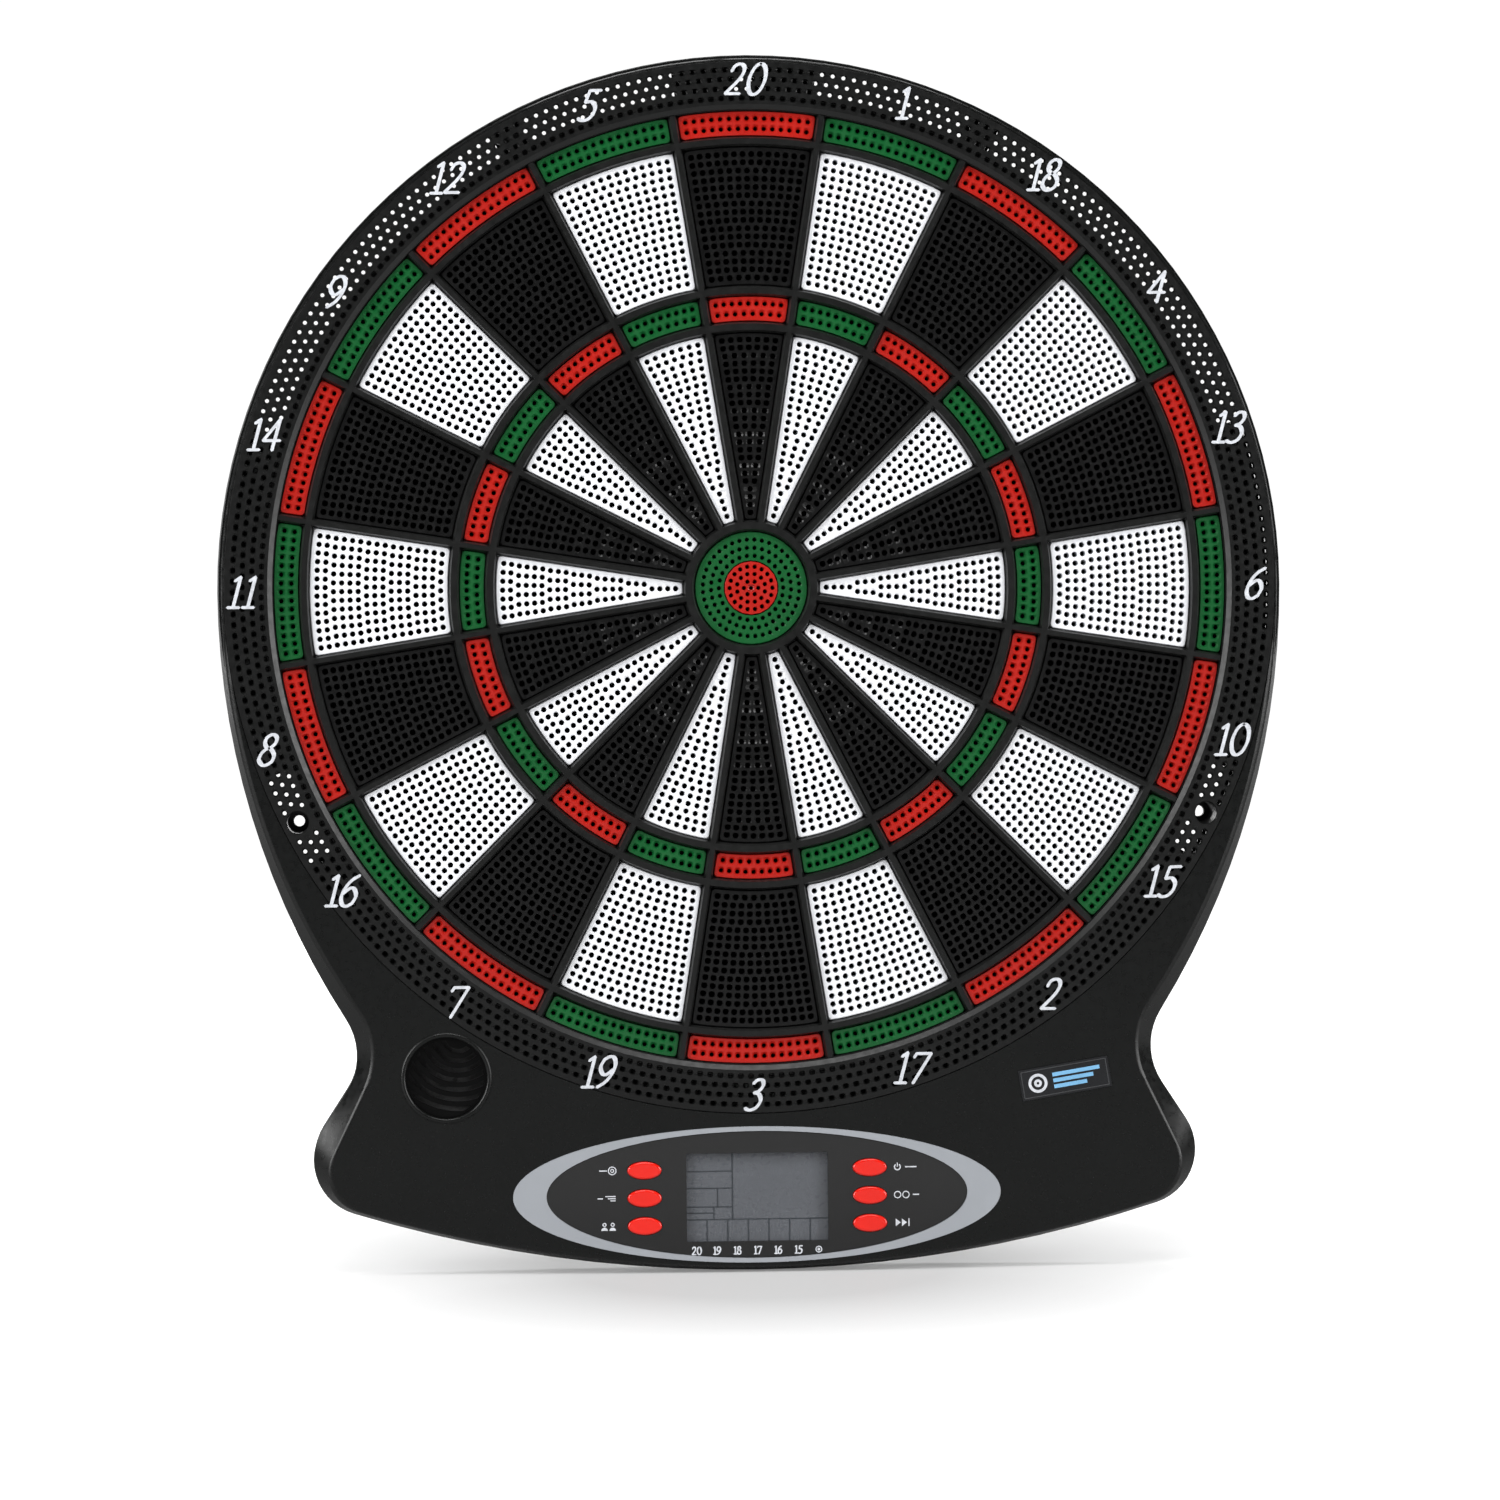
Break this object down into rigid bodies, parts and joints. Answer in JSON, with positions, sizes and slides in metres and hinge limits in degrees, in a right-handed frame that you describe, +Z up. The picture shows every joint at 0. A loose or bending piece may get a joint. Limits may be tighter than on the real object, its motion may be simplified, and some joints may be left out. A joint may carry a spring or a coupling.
{
  "type": "electronic dartboard",
  "caption": "Wall-hung soft-tip dartboard with sprung target segments, a perforated number ring and a console with a display and buttons.",
  "frame": {"origin": "on the bull's axis, in the plane of the wall that the board hangs on", "axes": "+Z up, +X to the right of someone facing the board, +Y into the wall; the front faces -Y"},
  "size_m": [0.4434, 0.0292, 0.5064],
  "materials": {
    "casing_black": "fine grained black moulded plastic",
    "catch_black": "satin black moulded plastic",
    "web_black": "satin black moulded plastic",
    "segment_black": "satin black target segment",
    "segment_white": "satin white target segment",
    "segment_red": "satin red target segment",
    "segment_green": "satin green target segment",
    "number_white": "printed white",
    "trim_grey": "metallic grey trim",
    "panel_black": "high gloss black",
    "button_red": "glossy red button",
    "lens_clear": "clear window",
    "display_grey": "reflective display",
    "frame_white": "white moulded plastic",
    "board_green": "solder mask",
    "chip_black": "resin",
    "rubber_grey": "silicone rubber",
    "mat_black": "soft rubber sheet",
    "film_clear": "translucent film",
    "foam_grey": "foam sheet",
    "fibreboard": "hardboard",
    "speaker_steel": "zinc plated",
    "cone_paper": "pressed paper",
    "screw_zinc": "zinc plated steel",
    "contact_nickel": "nickel plated spring steel",
    "cell_jacket": "printed metal jacket",
    "lead_black": "insulated wire",
    "lead_red": "insulated wire",
    "badge_black": "printed gloss black",
    "badge_blue": "printed light blue"
  },
  "bodies": {
    "board": {"front_housing": "casing_black", "catch_ring": "catch_black", "wall_screw_sleeves": "catch_black", "rear_cover": "casing_black", "badge_plate": "badge_black", "web": "web_black", "rubber_mat": "mat_black", "switch_membrane": "film_clear", "membrane_tail": "film_clear", "foam_pad": "foam_grey", "backing_board": "fibreboard", "console_panel": "panel_black", "console_trim": "trim_grey", "keypad": "rubber_grey", "lcd_lens": "lens_clear", "lcd_glass": "display_grey", "lcd_frame": "frame_white", "lcd_connectors": "rubber_grey", "circuit_board": "board_green", "circuit_parts": "chip_black", "speaker_grille": "catch_black", "speaker": "speaker_steel", "speaker_cone": "cone_paper", "speaker_leads": "lead_black", "batteries": "cell_jacket", "battery_contacts": "contact_nickel", "battery_springs": "contact_nickel", "battery_leads": "lead_red", "cover_screws": "screw_zinc", "board_screws": "screw_zinc", "circuit_screws": "screw_zinc"},
    "outer_bull": {"outer_bull": "segment_green"},
    "inner_bull": {"inner_bull": "segment_red"},
    "battery_door": {"battery_door": "casing_black"},
    "game_button": {"game_button": "button_red"},
    "option_button": {"option_button": "button_red"},
    "player_button": {"player_button": "button_red"},
    "power_button": {"power_button": "button_red"},
    "double_button": {"double_button": "button_red"},
    "start_button": {"start_button": "button_red"},
    "segments_20": {"segments_20": "segment_black"},
    "segments_01": {"segments_01": "segment_white"},
    "segments_18": {"segments_18": "segment_black"},
    "segments_04": {"segments_04": "segment_white"},
    "segments_13": {"segments_13": "segment_black"},
    "segments_06": {"segments_06": "segment_white"},
    "segments_10": {"segments_10": "segment_black"},
    "segments_15": {"segments_15": "segment_white"},
    "segments_02": {"segments_02": "segment_black"},
    "segments_17": {"segments_17": "segment_white"},
    "segments_03": {"segments_03": "segment_black"},
    "segments_19": {"segments_19": "segment_white"},
    "segments_07": {"segments_07": "segment_black"},
    "segments_16": {"segments_16": "segment_white"},
    "segments_08": {"segments_08": "segment_black"},
    "segments_11": {"segments_11": "segment_white"},
    "segments_14": {"segments_14": "segment_black"},
    "segments_09": {"segments_09": "segment_white"},
    "segments_12": {"segments_12": "segment_black"},
    "segments_05": {"segments_05": "segment_white"}
  },
  "joints": [
    {"name": "segments_20_slide", "type": "slide", "parent": "board", "child": "segments_20", "axis": [0, 1, 0], "range_m": [0, 0.0012], "stiffness_N_per_m": 2500},
    {"name": "segments_01_slide", "type": "slide", "parent": "board", "child": "segments_01", "axis": [0, 1, 0], "range_m": [0, 0.0012], "stiffness_N_per_m": 2500},
    {"name": "segments_18_slide", "type": "slide", "parent": "board", "child": "segments_18", "axis": [0, 1, 0], "range_m": [0, 0.0012], "stiffness_N_per_m": 2500},
    {"name": "segments_04_slide", "type": "slide", "parent": "board", "child": "segments_04", "axis": [0, 1, 0], "range_m": [0, 0.0012], "stiffness_N_per_m": 2500},
    {"name": "segments_13_slide", "type": "slide", "parent": "board", "child": "segments_13", "axis": [0, 1, 0], "range_m": [0, 0.0012], "stiffness_N_per_m": 2500},
    {"name": "segments_06_slide", "type": "slide", "parent": "board", "child": "segments_06", "axis": [0, 1, 0], "range_m": [0, 0.0012], "stiffness_N_per_m": 2500},
    {"name": "segments_10_slide", "type": "slide", "parent": "board", "child": "segments_10", "axis": [0, 1, 0], "range_m": [0, 0.0012], "stiffness_N_per_m": 2500},
    {"name": "segments_15_slide", "type": "slide", "parent": "board", "child": "segments_15", "axis": [0, 1, 0], "range_m": [0, 0.0012], "stiffness_N_per_m": 2500},
    {"name": "segments_02_slide", "type": "slide", "parent": "board", "child": "segments_02", "axis": [0, 1, 0], "range_m": [0, 0.0012], "stiffness_N_per_m": 2500},
    {"name": "segments_17_slide", "type": "slide", "parent": "board", "child": "segments_17", "axis": [0, 1, 0], "range_m": [0, 0.0012], "stiffness_N_per_m": 2500},
    {"name": "segments_03_slide", "type": "slide", "parent": "board", "child": "segments_03", "axis": [0, 1, 0], "range_m": [0, 0.0012], "stiffness_N_per_m": 2500},
    {"name": "segments_19_slide", "type": "slide", "parent": "board", "child": "segments_19", "axis": [0, 1, 0], "range_m": [0, 0.0012], "stiffness_N_per_m": 2500},
    {"name": "segments_07_slide", "type": "slide", "parent": "board", "child": "segments_07", "axis": [0, 1, 0], "range_m": [0, 0.0012], "stiffness_N_per_m": 2500},
    {"name": "segments_16_slide", "type": "slide", "parent": "board", "child": "segments_16", "axis": [0, 1, 0], "range_m": [0, 0.0012], "stiffness_N_per_m": 2500},
    {"name": "segments_08_slide", "type": "slide", "parent": "board", "child": "segments_08", "axis": [0, 1, 0], "range_m": [0, 0.0012], "stiffness_N_per_m": 2500},
    {"name": "segments_11_slide", "type": "slide", "parent": "board", "child": "segments_11", "axis": [0, 1, 0], "range_m": [0, 0.0012], "stiffness_N_per_m": 2500},
    {"name": "segments_14_slide", "type": "slide", "parent": "board", "child": "segments_14", "axis": [0, 1, 0], "range_m": [0, 0.0012], "stiffness_N_per_m": 2500},
    {"name": "segments_09_slide", "type": "slide", "parent": "board", "child": "segments_09", "axis": [0, 1, 0], "range_m": [0, 0.0012], "stiffness_N_per_m": 2500},
    {"name": "segments_12_slide", "type": "slide", "parent": "board", "child": "segments_12", "axis": [0, 1, 0], "range_m": [0, 0.0012], "stiffness_N_per_m": 2500},
    {"name": "segments_05_slide", "type": "slide", "parent": "board", "child": "segments_05", "axis": [0, 1, 0], "range_m": [0, 0.0012], "stiffness_N_per_m": 2500},
    {"name": "outer_bull_slide", "type": "slide", "parent": "board", "child": "outer_bull", "axis": [0, 1, 0], "range_m": [0, 0.0012], "stiffness_N_per_m": 1500},
    {"name": "inner_bull_slide", "type": "slide", "parent": "board", "child": "inner_bull", "axis": [0, 1, 0], "range_m": [0, 0.0012], "stiffness_N_per_m": 1000},
    {"name": "game_button_slide", "type": "slide", "parent": "board", "child": "game_button", "axis": [0, 1, 0], "range_m": [0, 0.001], "stiffness_N_per_m": 800},
    {"name": "option_button_slide", "type": "slide", "parent": "board", "child": "option_button", "axis": [0, 1, 0], "range_m": [0, 0.001], "stiffness_N_per_m": 800},
    {"name": "player_button_slide", "type": "slide", "parent": "board", "child": "player_button", "axis": [0, 1, 0], "range_m": [0, 0.001], "stiffness_N_per_m": 800},
    {"name": "power_button_slide", "type": "slide", "parent": "board", "child": "power_button", "axis": [0, 1, 0], "range_m": [0, 0.001], "stiffness_N_per_m": 800},
    {"name": "double_button_slide", "type": "slide", "parent": "board", "child": "double_button", "axis": [0, 1, 0], "range_m": [0, 0.001], "stiffness_N_per_m": 800},
    {"name": "start_button_slide", "type": "slide", "parent": "board", "child": "start_button", "axis": [0, 1, 0], "range_m": [0, 0.001], "stiffness_N_per_m": 800},
    {"name": "battery_door_slide", "type": "slide", "parent": "board", "child": "battery_door", "axis": [0, 1, 0], "range_m": [0, 0.012]}
  ]
}
